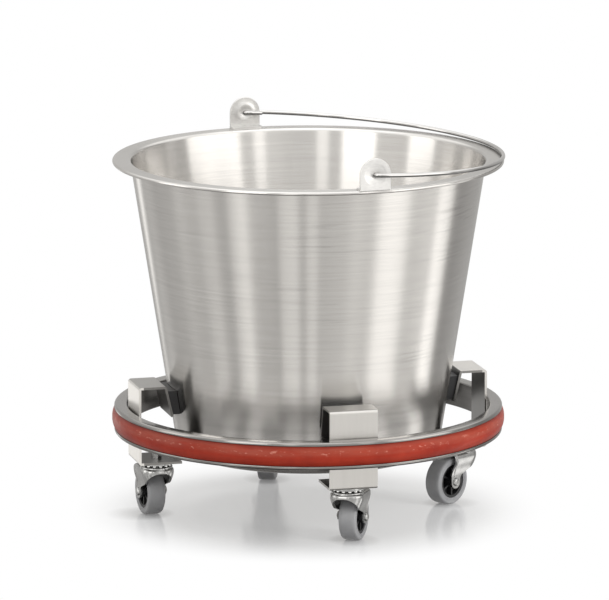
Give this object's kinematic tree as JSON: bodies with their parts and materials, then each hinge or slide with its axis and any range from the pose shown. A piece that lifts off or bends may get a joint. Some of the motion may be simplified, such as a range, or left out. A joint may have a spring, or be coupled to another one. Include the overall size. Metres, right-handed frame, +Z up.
{
  "type": "surgical kick bucket",
  "caption": "Stainless steel pail with a folding wire bail, resting in a low wheeled ring frame with a red rubber bumper and swivel castors",
  "frame": {"origin": "point on the floor under the pail's axis", "axes": "+Z up along the pail's axis, -Y from the axis towards the front leg, +X towards the right leg, where the bail lies folded"},
  "size_m": [0.3326, 0.3373, 0.3295],
  "materials": {
    "pail_steel": "brushed",
    "ear_steel": "satin",
    "wire": "polished",
    "frame_steel": "satin",
    "bumper_rubber": "satin",
    "pad_rubber": "matte",
    "castor_zinc": "polished",
    "ball_steel": "polished",
    "tyre_rubber": "matte",
    "hub_plastic": "matte",
    "bush_steel": "satin"
  },
  "bodies": {
    "frame": {"ring_channel": "frame_steel", "bumper": "bumper_rubber", "leg_front": "frame_steel", "pad_front": "pad_rubber", "castor_stud_front": "castor_zinc", "castor_nut_front": "castor_zinc", "upper_race_front": "castor_zinc", "race_balls_front": "ball_steel", "leg_right": "frame_steel", "pad_right": "pad_rubber", "castor_stud_right": "castor_zinc", "castor_nut_right": "castor_zinc", "upper_race_right": "castor_zinc", "race_balls_right": "ball_steel", "leg_rear": "frame_steel", "pad_rear": "pad_rubber", "castor_stud_rear": "castor_zinc", "castor_nut_rear": "castor_zinc", "upper_race_rear": "castor_zinc", "race_balls_rear": "ball_steel", "leg_left": "frame_steel", "pad_left": "pad_rubber", "castor_stud_left": "castor_zinc", "castor_nut_left": "castor_zinc", "upper_race_left": "castor_zinc", "race_balls_left": "ball_steel"},
    "pail": {"pail_shell": "pail_steel", "ear_front": "ear_steel", "ear_rear": "ear_steel"},
    "bail": {"bail_wire": "wire"},
    "caster_fork_front": {"fork_front": "castor_zinc", "axle_bolt_front": "castor_zinc", "axle_nut_front": "castor_zinc"},
    "caster_wheel_front": {"wheel_hub_front": "hub_plastic", "tyre_front": "tyre_rubber", "hub_bush_front": "bush_steel"},
    "caster_fork_right": {"fork_right": "castor_zinc", "axle_bolt_right": "castor_zinc", "axle_nut_right": "castor_zinc"},
    "caster_wheel_right": {"wheel_hub_right": "hub_plastic", "tyre_right": "tyre_rubber", "hub_bush_right": "bush_steel"},
    "caster_fork_rear": {"fork_rear": "castor_zinc", "axle_bolt_rear": "castor_zinc", "axle_nut_rear": "castor_zinc"},
    "caster_wheel_rear": {"wheel_hub_rear": "hub_plastic", "tyre_rear": "tyre_rubber", "hub_bush_rear": "bush_steel"},
    "caster_fork_left": {"fork_left": "castor_zinc", "axle_bolt_left": "castor_zinc", "axle_nut_left": "castor_zinc"},
    "caster_wheel_left": {"wheel_hub_left": "hub_plastic", "tyre_left": "tyre_rubber", "hub_bush_left": "bush_steel"}
  },
  "joints": [
    {"name": "pail_lift", "type": "slide", "parent": "frame", "child": "pail", "axis": [0, 0, 1], "range_m": [0, 0.12]},
    {"name": "bail_hinge", "type": "hinge", "parent": "pail", "child": "bail", "pos_m": [0, 0, 0.316], "axis": [0.0906, -0.9959, 0], "range_deg": [0, 187.6]},
    {"name": "swivel_front", "type": "hinge", "parent": "frame", "child": "caster_fork_front", "pos_m": [0, -0.13257, 0.045], "axis": [0, 0, 1], "continuous": true},
    {"name": "roll_front", "type": "hinge", "parent": "caster_fork_front", "child": "caster_wheel_front", "pos_m": [0.0086, -0.11908, 0.02], "axis": [-0.8434, 0.5373, 0], "continuous": true},
    {"name": "swivel_right", "type": "hinge", "parent": "frame", "child": "caster_fork_right", "pos_m": [0.13257, 0, 0.045], "axis": [0, 0, 1], "continuous": true},
    {"name": "roll_right", "type": "hinge", "parent": "caster_fork_right", "child": "caster_wheel_right", "pos_m": [0.11943, -0.00913, 0.02], "axis": [0.5707, -0.8211, 0], "continuous": true},
    {"name": "swivel_rear", "type": "hinge", "parent": "frame", "child": "caster_fork_rear", "pos_m": [0, 0.13257, 0.045], "axis": [0, 0, 1], "continuous": true},
    {"name": "roll_rear", "type": "hinge", "parent": "caster_fork_rear", "child": "caster_wheel_rear", "pos_m": [-0.00581, 0.11767, 0.02], "axis": [0.9317, -0.3633, 0], "continuous": true},
    {"name": "swivel_left", "type": "hinge", "parent": "frame", "child": "caster_fork_left", "pos_m": [-0.13257, 0, 0.045], "axis": [0, 0, 1], "continuous": true},
    {"name": "roll_left", "type": "hinge", "parent": "caster_fork_left", "child": "caster_wheel_left", "pos_m": [-0.13413, 0.01592, 0.02], "axis": [-0.9952, -0.0976, 0], "continuous": true}
  ]
}
